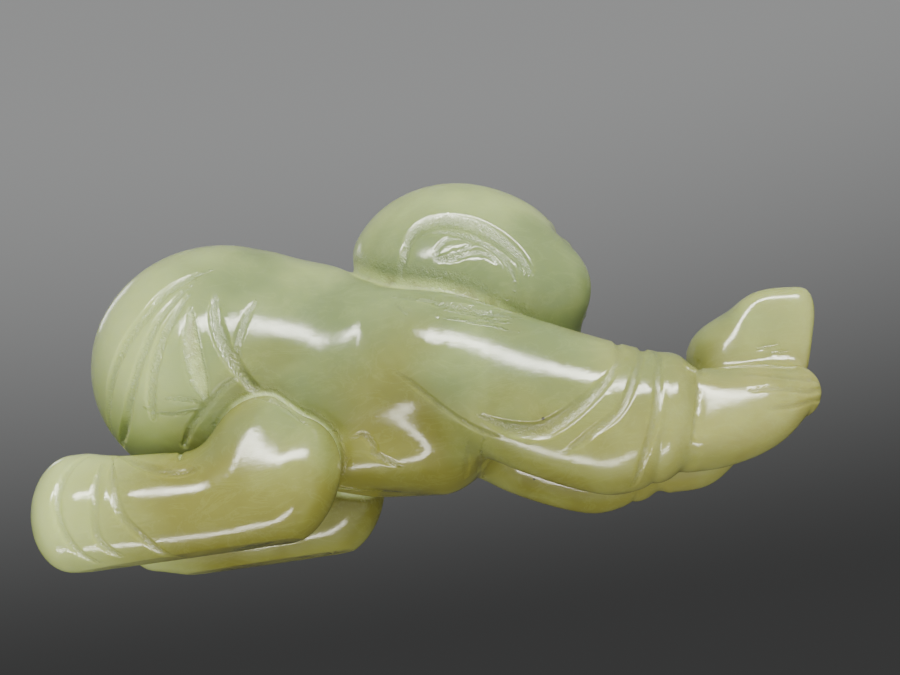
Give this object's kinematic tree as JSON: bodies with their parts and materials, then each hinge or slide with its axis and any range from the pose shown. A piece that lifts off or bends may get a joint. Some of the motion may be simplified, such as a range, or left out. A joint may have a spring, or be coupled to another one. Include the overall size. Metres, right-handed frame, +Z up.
{
  "type": "jade figurine",
  "caption": "Carved jade figurine of a kneeling child bowed forward, arms stretched out on the ground in wide sleeves, holding a small block up on both hands.",
  "frame": {"origin": "on the ground plane, at the centre of the figure's bounding box", "axes": "+X from the feet towards the hands, +Y to the figure's left, +Z up"},
  "size_m": [0.0772, 0.0286, 0.0362],
  "materials": {
    "jade_green": "high polish, translucent pale celadon green",
    "jade_yellow": "high polish, translucent yellow-green",
    "jade_pale": "high polish, translucent pale green"
  },
  "bodies": {
    "root": {"head": "jade_green", "right_ear": "jade_green", "left_ear": "jade_green", "torso": "jade_green", "hips": "jade_green", "right_sleeve": "jade_yellow", "left_sleeve": "jade_yellow", "right_hand": "jade_pale", "left_hand": "jade_pale", "offering": "jade_pale", "right_thigh": "jade_yellow", "left_thigh": "jade_yellow", "right_shin": "jade_yellow", "left_shin": "jade_yellow", "right_foot": "jade_yellow", "left_foot": "jade_yellow"}
  },
  "joints": []
}
